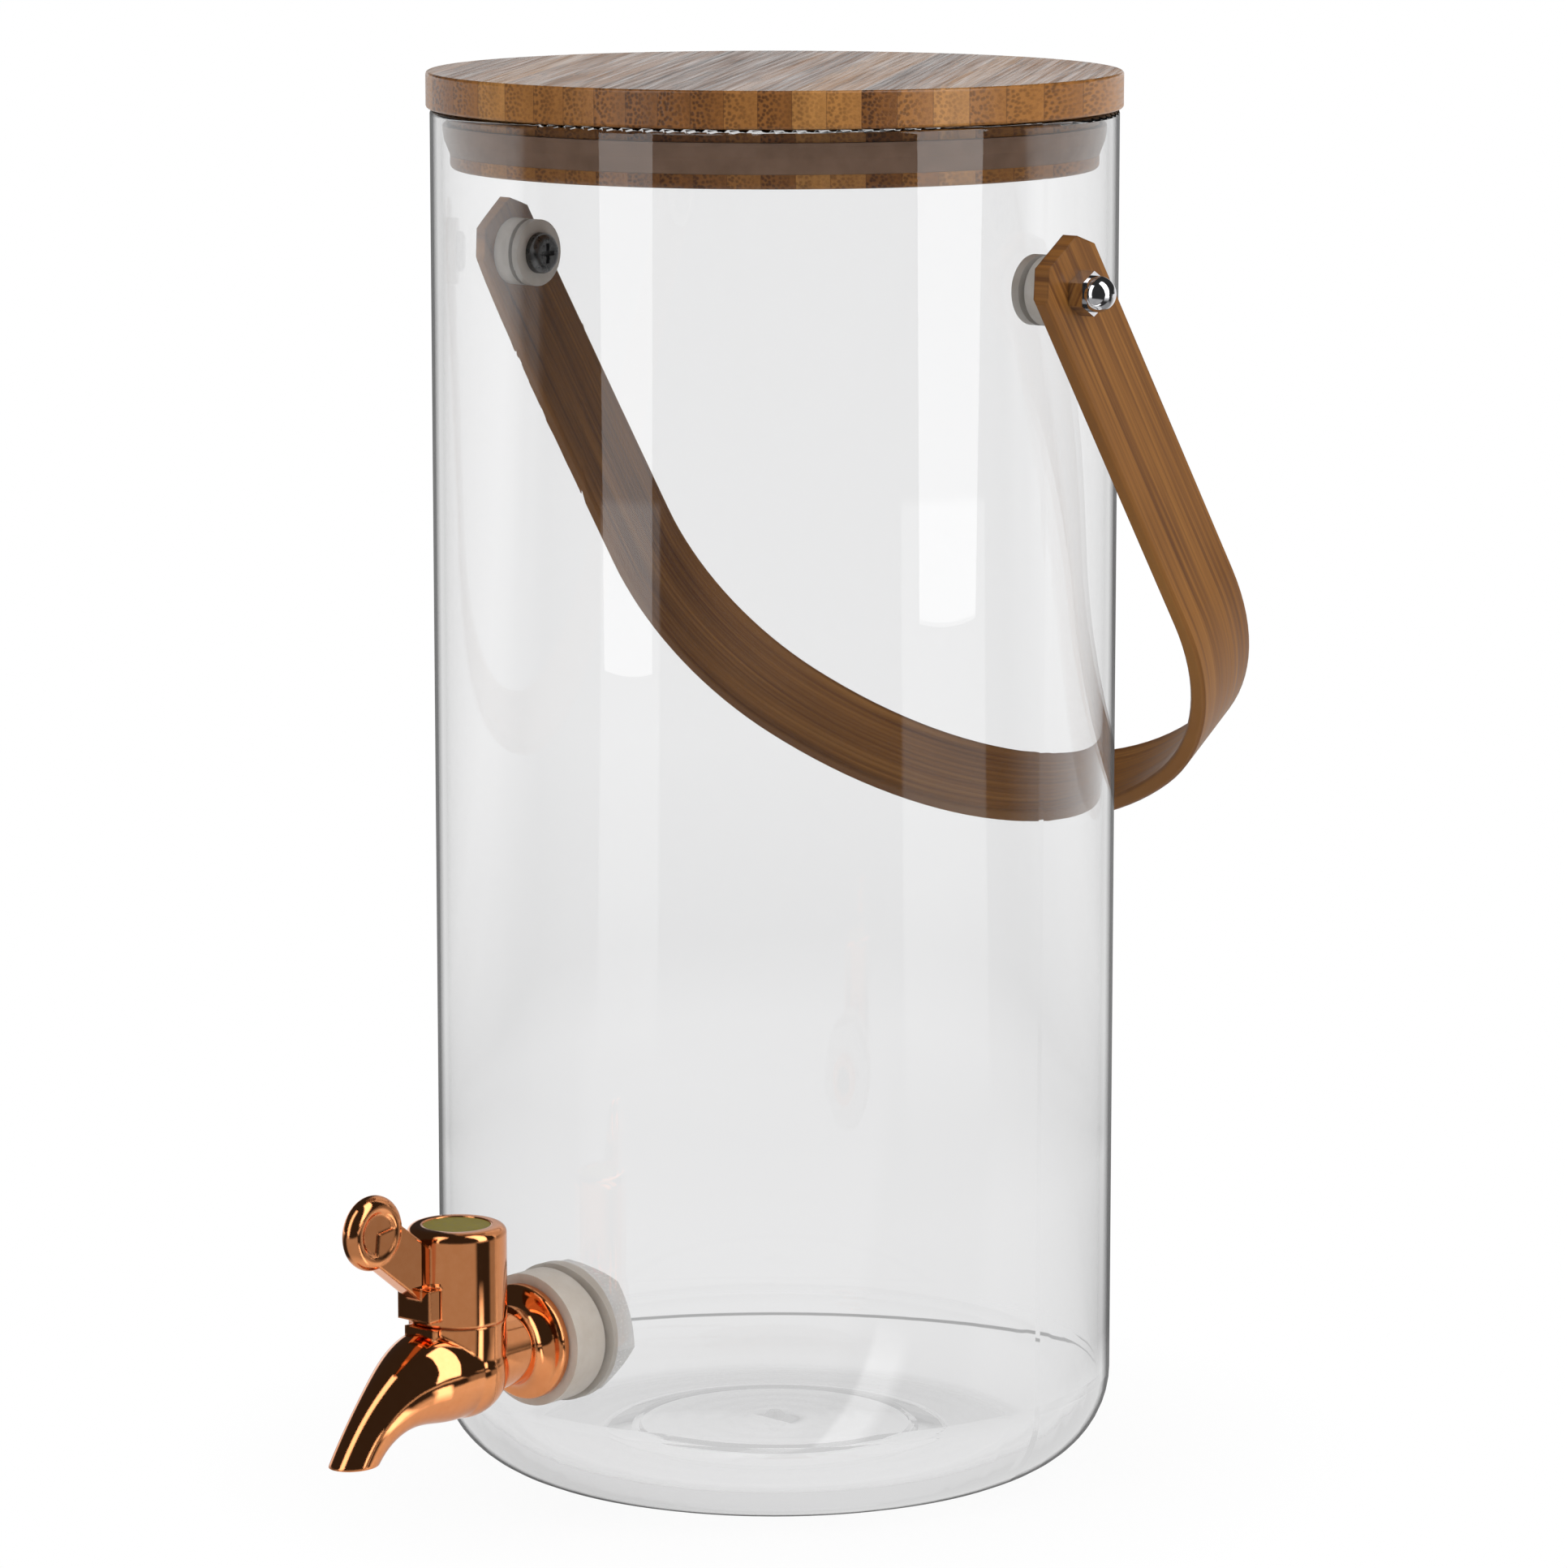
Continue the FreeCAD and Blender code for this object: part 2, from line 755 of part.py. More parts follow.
def build_tap_body():
    """Plated tap: threaded shank, flange, valve barrel on a round elbow, and a spout that bends down."""
    body = new_body("tap_body")
    zero = as_size(0)
    shank = dim("shank_radius")
    edge = dim("flange_radius")
    neck = dim("neck_radius")
    barrel = dim("barrel_radius")
    back = flange_back + face_gap
    rim = back + dim("flange_edge")
    tip = dim("shank_tip")
    past = tap_nut_back - dim("shank_past_nut")
    stem = sketch_on(body, "YZ_Plane", (0, tap_height, 0))
    polygon(stem, [
        (-past, zero),
        (-past, shank - tip),
        (-(past + tip), shank),
        (-back, shank),
        (-back, edge),
        (-rim, edge),
        (-rim, neck),
        (-valve_axis, neck + dim("stem_swell")),
        (-valve_axis, zero),
    ])
    revolve(body, stem, "H_Axis")
    on_tap = {"middle": (0, 0, tap_height), "axis": -Y_AXIS}
    round_edges(body, [(neck, rim)], dim("flange_cove"), **on_tap)
    round_edges(body, [(edge, back), (edge, rim)], dim("flange_round"), **on_tap)

    seam = dim("seam_high")
    spigot = dim("spigot_radius")
    bottom = dim("spout_drop")
    groove = spigot - dim("snap_deep")
    snap_low = seam + dim("snap_up")
    snap_top = snap_low + dim("snap_high") + 2 * dim("snap_play")
    top = seam + dim("spigot_high")
    tip = dim("spigot_tip")
    housing = sketch_on(body, "YZ_Plane", (-valve_axis, tap_height, 0))
    polygon(housing, [
        (zero, -bottom),
        (barrel, -bottom),
        (barrel, seam),
        (spigot, seam),
        (spigot, snap_low),
        (groove, snap_low),
        (groove, snap_top),
        (spigot, snap_top),
        (spigot, top - tip),
        (spigot - tip, top),
        (zero, top),
    ])
    revolve(body, housing)
    elbow = dim("elbow_radius")
    primitive(body, "AdditiveSphere", {"Radius": elbow}, (0, -valve_axis, tap_height - bottom))
    foot = sketch_on(body, "XY_Plane", (0, -valve_axis, tap_height + seam - dim("foot_high")))
    wide = dim("foot_wide") / 2
    front = barrel + dim("foot_reach")
    polygon(foot, [(wide, -spigot), (wide, -front), (-wide, -front), (-wide, -spigot)])
    pad(body, foot, dim("foot_high"))

    spout_loft(body, "AdditiveLoft", spout_outer)
    outlet = tap_height - dim("spout_outlet")
    below = sketch_on(body, "XY_Plane", (0, 0, outlet))
    near = valve_axis + elbow + overshoot
    far = near + 2 * dim("spout_bend")
    polygon(below, [(-elbow, -far), (elbow, -far), (elbow, -near), (-elbow, -near)])
    pocket(body, below, tap_height)

    water = dim("water_radius")
    spout_loft(body, "SubtractiveLoft", lambda turn: water)
    feed = {"Radius": water, "Height": valve_axis - past + overshoot}
    primitive(body, "SubtractiveCylinder", feed, *on_wall("tap", past - overshoot, tap_height))
    well = {"Radius": dim("valve_bore_radius"), "Height": dim("valve_floor") + 2 * top}
    primitive(body, "SubtractiveCylinder", well, (0, -valve_axis, tap_height - dim("valve_floor")))


def build_valve():
    """Turning plug with a cross port, two sealing rings and a square drive."""
    plug = new_body("tap_plug")
    place(plug, (0, -valve_axis, tap_height))
    zero = as_size(0)
    radius = dim("valve_bore_radius") - dim("valve_play")
    bottom = -dim("valve_floor") + dim("hub_gap")
    top = dim("seam_high") + dim("spigot_high") + dim("hub_gap")
    section = dim("ring_section")
    play = dim("ring_play")
    seat = dim("valve_bore_radius") - 2 * play - 2 * section
    upper = dim("ring_above")
    lower = -dim("ring_below")
    half = section + face_gap
    profile = sketch_on(plug, "XZ_Plane")
    polygon(profile, [
        (zero, bottom),
        (radius - dim("plug_tip"), bottom),
        (radius, bottom + dim("plug_tip")),
        (radius, lower - half),
        (seat, lower - half),
        (seat, lower + half),
        (radius, lower + half),
        (radius, upper - half),
        (seat, upper - half),
        (seat, upper + half),
        (radius, upper + half),
        (radius, top),
        (zero, top),
    ])
    revolve(plug, profile)
    drive = dim("drive_half")
    square = sketch_on(plug, "XY_Plane", (0, 0, top))
    polygon(square, [(drive, drive), (-drive, drive), (-drive, -drive), (drive, -drive)])
    pad(plug, square, dim("drive_high"))
    port = sketch_on(plug, "YZ_Plane")
    circle(port, 0, -dim("port_drop"), dim("water_radius"))
    pocket(plug, port, 4 * radius, middle=True)
    depth = dim("screw_long")
    start = top + dim("drive_high") - depth
    screw_hole = {"Radius": dim("screw_radius") + face_gap, "Height": 2 * depth}
    primitive(plug, "SubtractiveCylinder", screw_hole, (0, 0, start))

    for name, level in (("upper", upper), ("lower", lower)):
        ring = new_body(f"tap_seal_ring_{name}")
        place(ring, (0, -valve_axis, tap_height + level))
        torus = {"Radius1": seat + play + section, "Radius2": section}
        primitive(ring, "AdditiveTorus", torus)


def build_lever():
    """Lever hub that snaps over the spigot, with a rising arm and a round dished paddle."""
    lever = new_body("tap_lever")
    hub_base = dim("seam_high") + dim("hub_gap")
    place(lever, (0, -valve_axis, tap_height + hub_base))
    zero = as_size(0)
    hub = dim("hub_radius")
    high = dim("hub_high")
    play = dim("hub_play")
    cavity = dim("spigot_radius") + play
    roof = dim("spigot_high")
    snap_low = dim("snap_up") + dim("snap_play") - dim("hub_gap")
    snap_top = snap_low + dim("snap_high")
    bead = dim("spigot_radius") - dim("snap_deep") + dim("snap_play")
    sink = dim("cap_thick") + dim("cap_sink")
    cap = dim("cap_radius") + face_gap
    seat = roof + dim("drive_high") + dim("screw_web")
    head = dim("screw_head_radius") + play
    profile = sketch_on(lever, "XZ_Plane")
    polygon(profile, [
        (cavity, zero),
        (hub, zero),
        (hub, high),
        (cap, high),
        (cap, high - sink),
        (head, high - sink),
        (head, seat),
        (dim("screw_radius") + play, seat),
        (dim("screw_radius") + play, roof),
        (cavity, roof),
        (cavity, snap_top),
        (bead, snap_top),
        (bead, snap_low),
        (cavity, snap_low),
    ])
    revolve(lever, profile)
    round_edges(lever, [(hub, high)], dim("hub_round"))
    socket = dim("drive_half") + dim("drive_play")
    square = sketch_on(lever, "XY_Plane", (0, 0, roof))
    polygon(square, [(socket, socket), (-socket, socket), (-socket, -socket), (socket, -socket)])
    pocket(lever, square, dim("drive_high") + 2 * dim("hub_gap"))

    wall = (hub + cavity) / 2
    reach = dim("paddle_reach")
    centre = dim("paddle_high")
    paddle = dim("paddle_radius")
    arm = sketch_on(lever, "YZ_Plane")
    low = dim("arm_low")
    top = dim("arm_high")
    slant = math.sqrt(0.5)
    chord_reach = reach - paddle * slant / 2
    chord_high = centre - paddle * slant / 2
    spread = dim("arm_neck") * slant
    polygon(arm, [
        (-wall, low),
        (-hub, low),
        (-(chord_reach + spread), chord_high - spread),
        (-reach, centre),
        (-(chord_reach - spread), chord_high + spread),
        (-hub, top),
        (-wall, top),
    ])
    pad(lever, arm, dim("arm_thick"), middle=True)
    edge = dim("paddle_thick") / 2
    inside = paddle - edge
    dished = dim("paddle_thick") - 2 * dim("dish_deep")
    rim = {"Radius1": inside, "Radius2": edge}
    primitive(lever, "AdditiveTorus", rim, (0, -reach, centre), Y_AXIS, 90.0)
    web = {"Radius": inside, "Height": dished}
    primitive(lever, "AdditiveCylinder", web, (-dished / 2, -reach, centre), Y_AXIS, 90.0)
    stop = sketch_on(lever, "XY_Plane", (0, 0, dim("stop_low")))
    wide = dim("stop_wide") / 2
    out = hub + dim("stop_reach")
    polygon(stop, [(wide, -wall), (wide, -out), (-wide, -out), (-wide, -wall)])
    pad(lever, stop, dim("stop_high"))

    disc = new_body("tap_cap_disc")
    place(disc, (0, -valve_axis, tap_height + hub_base + high - sink))
    primitive(disc, "AdditiveCylinder", {"Radius": dim("cap_radius"), "Height": dim("cap_thick")})
    notch = sketch_on(disc, "XY_Plane", (0, 0, dim("cap_thick") / 2))
    half = dim("notch_wide") / 2
    far = dim("cap_radius") + overshoot
    near = dim("cap_radius") - dim("notch_long")
    for spot in range(4):
        corners = [(far, half), (near, half), (near, -half), (far, -half)]
        for quarter in range(spot):
            corners = [(-y, x) for x, y in corners]
        polygon(notch, corners)
    pocket(disc, notch, dim("cap_thick"))

    screw = new_body("tap_screw")
    place(screw, (0, -valve_axis, tap_height + hub_base + seat))
    long = dim("screw_long")
    head_high = dim("screw_head_high")
    head_radius = dim("screw_head_radius")
    thread = dim("screw_radius")
    profile = sketch_on(screw, "XZ_Plane")
    polygon(profile, [
        (zero, -long),
        (thread - dim("screw_tip"), -long),
        (thread, -long + dim("screw_tip")),
        (thread, zero),
        (head_radius, zero),
        (head_radius, head_high),
        (zero, head_high),
    ])
    revolve(screw, profile)
    round_edges(screw, [(head_radius, head_high)], head_high / 2)


build_glass_jar()
build_lid()
hang = build_handle()
build_fixings("right")
build_fixings("left")
build_tap_fixings()
build_tap_body()
build_valve()
build_lever()
doc.recompute()

for item in doc.Objects:
    if "Invalid" in item.State or "Error" in item.State:
        raise RuntimeError(f"{item.Label}: {item.State}")

os.makedirs("parts", exist_ok=True)
for piece in pieces:
    if piece.Shape.isNull() or not piece.Shape.isValid():
        raise RuntimeError(f"{piece.Label}: not a valid solid")
    piece.Shape.exportStep(f"parts/{piece.Label}.step")
print(f"{len(pieces)} pieces, handle hangs at {hang.value:.3f} degrees")
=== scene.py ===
import bpy
import math
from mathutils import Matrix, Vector

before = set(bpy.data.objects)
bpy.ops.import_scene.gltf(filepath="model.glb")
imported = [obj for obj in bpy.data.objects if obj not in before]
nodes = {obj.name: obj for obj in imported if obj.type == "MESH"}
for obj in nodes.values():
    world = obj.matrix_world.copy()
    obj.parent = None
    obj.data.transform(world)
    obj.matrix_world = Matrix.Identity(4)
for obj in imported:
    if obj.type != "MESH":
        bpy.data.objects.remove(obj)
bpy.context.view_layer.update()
scene = bpy.context.scene

# Lengths are in metres, and tones without linear() are in linear light
WHITE = (1, 1, 1, 1)

# Most of a noise lies between these two values
NOISE_LOW = 0.3
NOISE_HIGH = 0.7
NOISE_ROUGHNESS = 0.55

# The sharp edges of the strap and the tap are softened in the shading only
EDGE_RADIUS = 0.0010
EDGE_SAMPLES = 6

# A count of bounces above these is one at least, or two at least
ONE_BOUNCE = 0.5
TWO_BOUNCES = 1.5


class Finish:
    """A node material with a Principled shader, built one node at a time."""

    def __init__(self, name, **settings):
        self.material = bpy.data.materials.new(name)
        self.material.use_nodes = True
        self.tree = self.material.node_tree
        self.shader = self.tree.nodes["Principled BSDF"]
        for socket, value in settings.items():
            self.shader.inputs[socket.replace("_", " ")].default_value = value

    def node(self, kind, links=None, values=None, **settings):
        made = self.tree.nodes.new(f"ShaderNode{kind}")
        for key, value in settings.items():
            setattr(made, key, value)
        for socket, value in (values or {}).items():
            made.inputs[socket].default_value = value
        for socket, source in (links or {}).items():
            self.tree.links.new(source, made.inputs[socket])
        return made

    def to_shader(self, socket, source):
        self.tree.links.new(source, self.shader.inputs[socket])

    def to_surface(self, source):
        surface = self.tree.nodes["Material Output"].inputs["Surface"]
        self.tree.links.new(source, surface)

    def place(self, turn=(0, 0, 0)):
        """Coordinates fixed to the piece, turned."""
        where = self.node("TexCoord").outputs["Object"]
        return self.node("Mapping", {"Vector": where}, {"Rotation": turn}).outputs["Vector"]

    def split(self, where):
        return self.node("SeparateXYZ", {"Vector": where}).outputs

    def noise(self, where, scale, detail):
        values = {"Scale": scale, "Detail": detail, "Roughness": NOISE_ROUGHNESS}
        return self.node("TexNoise", {"Vector": where}, values).outputs["Fac"]

    def grain(self, where, fineness, detail):
        """Noise with its own fineness along each axis."""
        drawn = self.node("Mapping", {"Vector": where}, {"Scale": fineness})
        return self.noise(drawn.outputs["Vector"], 1.0, detail)

    def math(self, operation, a, b=0.0, clamp=False):
        made = self.node("Math", operation=operation, use_clamp=clamp)
        for socket, value in zip(made.inputs, (a, b)):
            if isinstance(value, (int, float)):
                socket.default_value = value
            else:
                self.tree.links.new(value, socket)
        return made.outputs["Value"]

    def add(self, total, *others):
        for other in others:
            total = self.math("ADD", total, other)
        return total

    def multiply(self, product, *others):
        for other in others:
            product = self.math("MULTIPLY", product, other)
        return product

    def subtract(self, a, b):
        return self.math("SUBTRACT", a, b)

    def rest(self, share):
        """What a share leaves of one."""
        return self.math("SUBTRACT", 1.0, share)

    def larger(self, a, b):
        return self.math("MAXIMUM", a, b)

    def above(self, value, limit):
        return self.math("GREATER_THAN", value, limit)

    def distance(self, x, y):
        return self.math("SQRT", self.add(self.multiply(x, x), self.multiply(y, y)))

    def apart(self, value, middle):
        return self.math("ABSOLUTE", self.subtract(value, middle))

    def range(self, factor, low, high, to_low=0.0, to_high=1.0):
        values = {"From Min": low, "From Max": high, "To Min": to_low, "To Max": to_high}
        return self.node("MapRange", {"Value": factor}, values).outputs["Result"]

    def spread(self, noise, to_low, to_high):
        return self.range(noise, NOISE_LOW, NOISE_HIGH, to_low, to_high)

    def ramp(self, factor, stops):
        made = self.node("ValToRGB", {"Fac": factor})
        points = made.color_ramp.elements
        while len(points) < len(stops):
            points.new(1.0)
        for point, (spot, colour) in zip(points, stops):
            point.position = spot
            point.color = (*colour, 1.0)
        return made.outputs["Color"]

    def between(self, noise, dark, light):
        return self.ramp(noise, ((NOISE_LOW, dark), (NOISE_HIGH, light)))

    def mix(self, factor, a, b, kind="MIX"):
        made = self.node("Mix", data_type="RGBA", blend_type=kind)
        factor_socket, a_socket, b_socket = made.inputs[0], made.inputs[6], made.inputs[7]
        for socket, value in ((factor_socket, factor), (a_socket, a), (b_socket, b)):
            if isinstance(value, (int, float)):
                socket.default_value = value
            elif isinstance(value, tuple):
                socket.default_value = (*value, 1.0)
            else:
                self.tree.links.new(value, socket)
        return made.outputs[2]

    def blend(self, share, first, second):
        """The first shader, giving way to the second by a share."""
        return self.node("MixShader", {"Fac": share, 1: first, 2: second}).outputs["Shader"]

    def round_edge(self):
        made = self.node("Bevel", values={"Radius": EDGE_RADIUS}, samples=EDGE_SAMPLES)
        return made.outputs["Normal"]

    def bump(self, height, strength, distance, normal=None):
        values = {"Strength": strength, "Distance": distance}
        links = {"Height": height, "Normal": normal} if normal else {"Height": height}
        self.to_shader("Normal", self.node("Bump", links, values).outputs["Normal"])


def linear(red, green, blue):
    """A colour given as 0 to 255 display values, in linear light."""
    def one(value):
        value = value / 255.0
        return value / 12.92 if value <= 0.04045 else ((value + 0.055) / 1.055) ** 2.4
    return one(red), one(green), one(blue)


def wear(finish, *names):
    for name in names:
        piece = nodes[name]
        piece.data.materials.clear()
        piece.data.materials.append(finish.material)


# Clear glass: faint waviness, and rings pressed into the thick base
GLASS_INSIDE = (0.965, 0.965, 0.967)
GLASS_OUTSIDE = (0.975, 0.975, 0.977)
HEEL_MIDDLE_RADIUS = 0.066
HEEL_MIDDLE_HEIGHT = 0.024
HEEL_INNER_TO_OUTER = (0.0217, 0.0233)
BASE_TO_HEEL_RADIUS = (0.060, 0.066)
# The painted dark outline of the outer face, set by how squarely the face turns to the view
PAINTED_OUTLINE_RAMP = ((0.0, 0.0), (0.79, 0.0), (0.83, 0.40), (0.87, 0.85), (1.0, 0.85))
PAINTED_OUTLINE_TONE = (0.10, 0.10, 0.10, 1.0)
# The painted pale glow of the heel, and the heights over which it fades out
PAINTED_HEEL_GLOW = 0.62
PAINTED_GLOW_FADE_HEIGHT = (0.30, 0.20)
WOBBLE_FINENESS = (14, 14, 5)
RING_FINENESS = 900.0
RING_DRIFT = 6.0
RING_DEPTH = 0.2
RING_FADE_HEIGHT = (0.016, 0.008)


def glass():
    made = Finish("clear_glass", Roughness=0.0, IOR=1.5, Transmission_Weight=1.0)
    where = made.place()
    x, y, z = made.split(where)
    radius = made.distance(x, y)
    # Distance from the middle of the heel's curve tells the outer face from the inner one
    below = made.math("MINIMUM", made.subtract(z, HEEL_MIDDLE_HEIGHT), 0.0)
    heel = made.distance(made.subtract(radius, HEEL_MIDDLE_RADIUS), below)
    outer = made.multiply(
        made.range(heel, *HEEL_INNER_TO_OUTER),
        made.range(radius, *BASE_TO_HEEL_RADIUS),
    )
    made.to_shader("Base Color", made.mix(outer, GLASS_INSIDE, GLASS_OUTSIDE))
    # A painted reflection: a dark diffuse layer along the outline of the outer face stands in for
    # the dark of the room
    edge = made.node("LayerWeight", values={"Blend": 0.5}).outputs["Facing"]
    line = made.ramp(edge, [(spot, (share, share, share)) for spot, share in PAINTED_OUTLINE_RAMP])
    back = made.node("NewGeometry").outputs["Backfacing"]
    share = made.multiply(line, outer, made.rest(back))
    dark = made.node("BsdfDiffuse", values={"Color": PAINTED_OUTLINE_TONE}).outputs["BSDF"]
    both = made.blend(share, made.shader.outputs["BSDF"], dark)
    # A painted glow: where a ray keeps bouncing inside the heel, the glass gives off a pale grey
    # light of its own
    often = made.above(made.node("LightPath").outputs["Glossy Depth"], TWO_BOUNCES)
    painted_glow_share = made.multiply(often, back, made.range(z, *PAINTED_GLOW_FADE_HEIGHT))
    painted_glow = made.node("Emission", values={"Strength": PAINTED_HEEL_GLOW}).outputs["Emission"]
    made.to_surface(made.blend(painted_glow_share, both, painted_glow))
    wobble = made.grain(where, WOBBLE_FINENESS, 2.0)
    wave = made.add(made.multiply(radius, RING_FINENESS), made.multiply(wobble, RING_DRIFT))
    low = made.multiply(made.range(z, *RING_FADE_HEIGHT), RING_DEPTH)
    height = made.add(made.multiply(made.math("SINE", wave), low), wobble)
    made.bump(height, 0.06, 0.0004)
    return made


# Laminated bamboo: strips glued side by side, with fibre bundles that run along them
BOARD_TURN = math.radians(-32.0)
BOARD_STRIP = 0.0084
BOARD_TONES = (
    (0.0, linear(126, 79, 35)),
    (0.35, linear(144, 93, 43)),
    (0.7, linear(162, 109, 53)),
    (1.0, linear(179, 127, 68)),
)
BOARD_SHADES = ((0.3, (0.72, 0.70, 0.68)), (0.85, (1.22, 1.22, 1.2)))
BUNDLE_TONE = linear(62, 36, 18)
BUNDLE_FINENESS = 900.0
BUNDLE_DRIFT = 0.004
SEAM_TONE = linear(74, 45, 24)
SEAM_HALF = 0.022
BOARD_TOP = (0.3690, 0.3697)


def bamboo_board():
    made = Finish("bamboo", Specular_IOR_Level=0.35)
    where = made.place((0, 0, BOARD_TURN))
    across, _, up = made.split(where)
    strip = made.math("DIVIDE", across, BOARD_STRIP)
    number = made.math("FLOOR", strip)
    part = made.math("FRACT", strip)
    random = made.node("TexWhiteNoise", {"W": number}, noise_dimensions="1D").outputs["Value"]
    fine = made.grain(where, (2600, 16, 2600), 2.0)
    slow = made.grain(where, (260, 5, 60), 2.0)
    shade = made.add(made.multiply(fine, 0.5), made.multiply(slow, 0.7))
    tone = made.ramp(random, BOARD_TONES)
    tone = made.mix(1.0, tone, made.ramp(shade, BOARD_SHADES), "MULTIPLY")
    # Bundles cut across show as dots at the rim, crowded to one side of each strip
    drift = made.multiply(made.grain(where, (40, 30, 40), 1.0), BUNDLE_DRIFT)
    ends = made.node("CombineXYZ", {"X": made.add(across, drift), "Y": made.add(up, drift)})
    cell = made.node(
        "TexVoronoi",
        {"Vector": ends.outputs["Vector"]},
        {"Scale": BUNDLE_FINENESS, "Randomness": 0.9},
        voronoi_dimensions="2D",
    )
    dot = made.range(cell.outputs["Distance"], 0.52, 0.22)
    side = made.range(part, 0.95, 0.25, 0.25, 1.0)
    crowd = made.multiply(side, made.range(random, 0.0, 1.0, 1.0, 0.45))
    pore = made.multiply(dot, crowd)
    tone = made.mix(made.multiply(pore, 0.8), tone, BUNDLE_TONE)
    seam = made.rest(made.range(made.math("PINGPONG", strip, 0.5), 0.0, SEAM_HALF))
    tone = made.mix(made.multiply(seam, 0.55), tone, SEAM_TONE)
    made.to_shader("Base Color", tone)
    made.to_shader("Roughness", made.spread(fine, 0.28, 0.40))
    # The oiled top takes a sheen at a low angle, broken by the grain
    streak = made.grain(where, (700, 9, 700), 3.0)
    sheen = made.range(streak, 0.35, 0.65, 0.60, 0.14)
    made.to_shader("Coat Weight", made.multiply(made.range(up, *BOARD_TOP), sheen))
    made.to_shader("Coat Roughness", made.spread(fine, 0.10, 0.22))
    made.bump(made.subtract(fine, pore), 0.35, 0.00012)
    return made


# Steam-bent bamboo: fibres follow the strap, with long slow streaks
STRAP_LEAN = math.radians(-34.27)
STRAP_TONES = (
    (0.36, linear(78, 44, 14)),
    (0.46, linear(118, 75, 28)),
    (0.55, linear(141, 93, 38)),
    (0.66, linear(164, 114, 53)),
)
STRAP_DARK = linear(114, 68, 26)
STRAP_LIGHT = linear(156, 101, 44)


def bamboo_strap():
    made = Finish("bamboo_strap", Specular_IOR_Level=0.3)
    where = made.place((STRAP_LEAN, 0, 0))
    fine = made.grain(where, (9, 1050, 9), 3.0)
    slow = made.grain(where, (6, 240, 6), 2.0)
    wide = made.grain(where, (14, 40, 14), 2.0)
    shade = made.add(made.multiply(fine, 0.62), made.multiply(slow, 0.38))
    tone = made.ramp(shade, STRAP_TONES)
    tone = made.mix(0.3, tone, made.between(wide, STRAP_DARK, STRAP_LIGHT))
    made.to_shader("Base Color", tone)
    made.to_shader("Roughness", made.spread(fine, 0.38, 0.52))
    made.bump(fine, 0.3, 0.0001, made.round_edge())
    return made


# Mirror plating with the faint ripple of polished castings
COPPER_DARK = (0.86, 0.33, 0.125)
COPPER_LIGHT = (0.90, 0.36, 0.145)


def copper():
    made = Finish("copper_plate", Metallic=1.0)
    where = made.place()
    ripple = made.noise(where, 120.0, 2.0)
    haze = made.noise(where, 420.0, 3.0)
    made.to_shader("Base Color", made.between(haze, COPPER_DARK, COPPER_LIGHT))
    made.to_shader("Roughness", made.range(haze, 0.3, 0.75, 0.02, 0.05))
    made.bump(ripple, 0.02, 0.0006, made.round_edge())
    return made


# Screws and nuts: bare metal with a fine haze
def metal(name, dark, light, rough):
    made = Finish(name, Metallic=1.0)
    haze = made.noise(made.place(), 600.0, 3.0)
    made.to_shader("Base Color", made.between(haze, dark, light))
    made.to_shader("Roughness", made.spread(haze, rough * 0.7, rough * 1.4))
    made.bump(haze, 0.05, 0.0002)
    return made


# Milky silicone and plastic: clouded, slightly see-through
def milky(name, dark, light, rough, clear, depth):
    made = Finish(
        name,
        IOR=1.42,
        Transmission_Weight=clear,
        Subsurface_Weight=depth,
        Subsurface_Scale=0.004,
        Subsurface_Radius=(1.0, 0.9, 0.8),
    )
    cloud = made.noise(made.place(), 160.0, 3.0)
    grain = made.noise(made.place(), 1400.0, 2.0)
    made.to_shader("Base Color", made.between(cloud, dark, light))
    made.to_shader("Roughness", made.spread(grain, rough * 0.8, rough * 1.2))
    made.bump(grain, 0.12, 0.0001)
    return made


# Solid plastic and rubber with a fine grain
def plastic(name, dark, light, rough):
    made = Finish(name)
    grain = made.noise(made.place(), 900.0, 3.0)
    made.to_shader("Base Color", made.between(grain, dark, light))
    made.to_shader("Roughness", made.spread(grain, rough * 0.8, rough * 1.2))
    made.bump(grain, 0.15, 0.0001)
    return made


wear(glass(), "glass_jar")
wear(bamboo_board(), "lid_board")
wear(bamboo_strap(), "handle_strap")
wear(copper(), "tap_body", "tap_lever")
wear(
    metal("chrome", (0.62, 0.62, 0.64), (0.75, 0.75, 0.77), 0.06),
    "cap_nut_left", "cap_nut_right",
)
wear(
    metal("screw_dark", (0.10, 0.10, 0.10), (0.20, 0.20, 0.20), 0.3),
    "handle_bolt_left", "handle_bolt_right",
)
wear(
    metal("screw_steel", (0.45, 0.45, 0.46), (0.58, 0.58, 0.6), 0.25),
    "tap_screw",
)
wear(
    milky("silicone_seal", linear(130, 101, 80), linear(148, 117, 96), 0.4, 0.15, 0.1),
    "lid_seal",
)
wear(
    milky("silicone_washer", linear(208, 201, 192), linear(226, 221, 214), 0.35, 0.25, 0.2),
    "inner_washer_left", "inner_washer_right", "outer_washer_left", "outer_washer_right",
)
wear(
    milky("tap_washer", linear(216, 205, 192), linear(228, 219, 208), 0.38, 0.2, 0.2),
    "tap_outer_washer", "tap_inner_washer",
)
wear(
    milky("tap_nut", linear(246, 243, 239), linear(252, 250, 248), 0.25, 0.08, 0.15),
    "tap_nut",
)
wear(
    plastic("olive_disc", linear(124, 111, 38), linear(145, 132, 53), 0.6),
    "tap_cap_disc",
)
wear(
    plastic("valve_plastic", linear(205, 203, 196), linear(222, 220, 214), 0.4),
    "tap_plug",
)
wear(
    plastic("seal_rubber", linear(28, 28, 29), linear(42, 42, 43), 0.55),
    "tap_seal_ring_upper", "tap_seal_ring_lower",
)

# Light passes the glass to what stands inside and behind it
nodes["glass_jar"].visible_shadow = False


